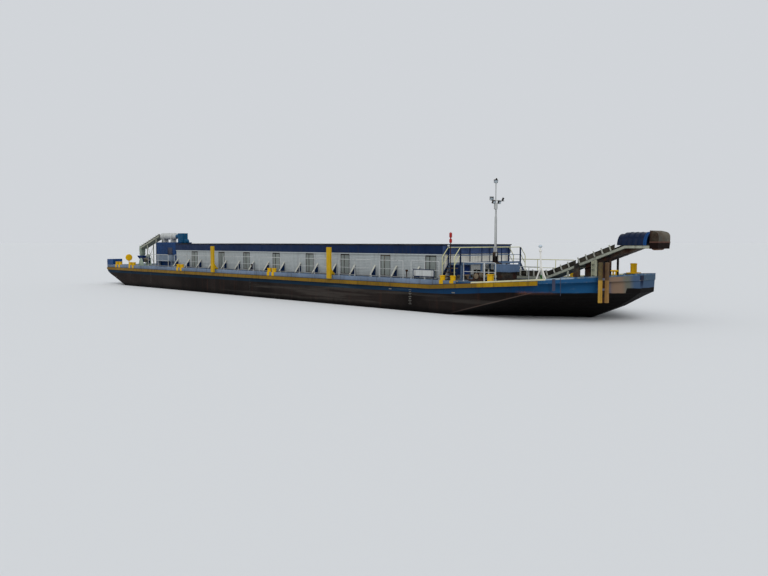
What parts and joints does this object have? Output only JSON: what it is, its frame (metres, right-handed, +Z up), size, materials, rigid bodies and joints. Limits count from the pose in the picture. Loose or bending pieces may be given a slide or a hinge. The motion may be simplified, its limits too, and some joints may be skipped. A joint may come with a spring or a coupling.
{
  "type": "self-unloading river barge, 1:2 scale model",
  "caption": "Flat-bottomed push barge with an open hopper hold, high coaming, bow and stern belt conveyors, catwalk, folding light mast and winches.",
  "frame": {"origin": "centre of the whole barge's outline, on the flat of the keel", "axes": "+X forward to the bow and the long way, +Y to port, +Z up"},
  "size_m": [28.27, 5.02, 4.585],
  "materials": {
    "hull_paint": "weathered black and blue hull paint with rust streaks",
    "deck_paint": "worn light blue-grey deck paint",
    "blue_paint": "satin blue paint",
    "navy_paint": "satin navy paint",
    "yellow_paint": "chipped ochre yellow paint",
    "white_paint": "dull white paint with run-off stains",
    "machine_paint": "faded grey-green machine paint",
    "conveyor_steel": "grey-beige painted steel section",
    "dark_steel": "dark primed steel",
    "rusty_steel": "rusty bare steel",
    "belt_rubber": "dusty black rubber"
  },
  "bodies": {
    "barge": {"hull_stern": "hull_paint", "hull_bow": "hull_paint", "hull_bottom": "hull_paint", "hull_side_starboard": "hull_paint", "hull_side_port": "hull_paint", "hull_ramp": "hull_paint", "main_deck": "deck_paint", "fore_deck": "deck_paint", "bow_bulwark": "blue_paint", "strake_starboard": "yellow_paint", "strake_port": "yellow_paint", "gunwale_starboard": "deck_paint", "gunwale_port": "deck_paint", "fender_post_aft_starboard": "yellow_paint", "fender_post_aft_port": "yellow_paint", "fender_post_fore_starboard": "yellow_paint", "fender_post_fore_port": "yellow_paint", "coaming_starboard": "white_paint", "coaming_port": "white_paint", "coaming_fore": "white_paint", "coaming_aft": "white_paint", "coaming_band": "navy_paint", "coaming_brackets_starboard": "navy_paint", "coaming_brackets_port": "navy_paint", "side_rail_starboard": "white_paint", "side_rail_port": "white_paint", "catwalk": "deck_paint", "catwalk_stair_starboard": "white_paint", "catwalk_stair_port": "white_paint", "mast_foot": "dark_steel", "signal_mast": "white_paint", "hold_conveyor": "belt_rubber", "deck_conveyor": "conveyor_steel", "deck_belt": "belt_rubber", "boom_support": "machine_paint", "bow_guide_posts": "yellow_paint", "bow_bollard": "yellow_paint", "power_unit": "navy_paint", "machinery_box": "deck_paint", "winch_frame_starboard": "machine_paint", "winch_frame_port": "machine_paint", "aft_house": "navy_paint", "aft_cabinet": "white_paint", "aft_conveyor": "conveyor_steel", "aft_belt": "belt_rubber", "aft_chute": "machine_paint", "aft_hood": "white_paint", "aft_head": "blue_paint", "fore_bollard_starboard": "yellow_paint", "fore_bollard_port": "yellow_paint", "fore_windlass": "navy_paint"},
    "mast": {"light_mast": "white_paint"},
    "boom": {"boom_frame": "conveyor_steel", "boom_belt": "belt_rubber", "boom_hood": "blue_paint", "head_chute": "rusty_steel"},
    "drum": {"head_drum": "rusty_steel"},
    "winch_s": {"winch_drum_starboard": "navy_paint"},
    "winch_p": {"winch_drum_port": "navy_paint"},
    "door": {"aft_door": "blue_paint"}
  },
  "joints": [
    {"name": "mast_fold", "type": "hinge", "parent": "barge", "child": "mast", "pos_m": [8.625, 0, 2.175], "axis": [0, 1, 0], "range_deg": [0, 88]},
    {"name": "boom_luff", "type": "hinge", "parent": "barge", "child": "boom", "pos_m": [11.765, 0, 1.865], "axis": [0, -1, 0], "range_deg": [0, 14]},
    {"name": "drum_turn", "type": "hinge", "parent": "boom", "child": "drum", "pos_m": [13.965, 0, 2.415], "axis": [0, 1, 0], "continuous": true},
    {"name": "winch_turn_starboard", "type": "hinge", "parent": "barge", "child": "winch_s", "pos_m": [-11.085, -1.875, 1.65], "axis": [0, 1, 0], "continuous": true},
    {"name": "winch_turn_port", "type": "hinge", "parent": "barge", "child": "winch_p", "pos_m": [-11.085, 1.875, 1.65], "axis": [0, 1, 0], "continuous": true},
    {"name": "door_swing", "type": "hinge", "parent": "barge", "child": "door", "pos_m": [-10.085, 0.7, 1.95], "axis": [0, 0, -1], "range_deg": [0, 100]}
  ]
}
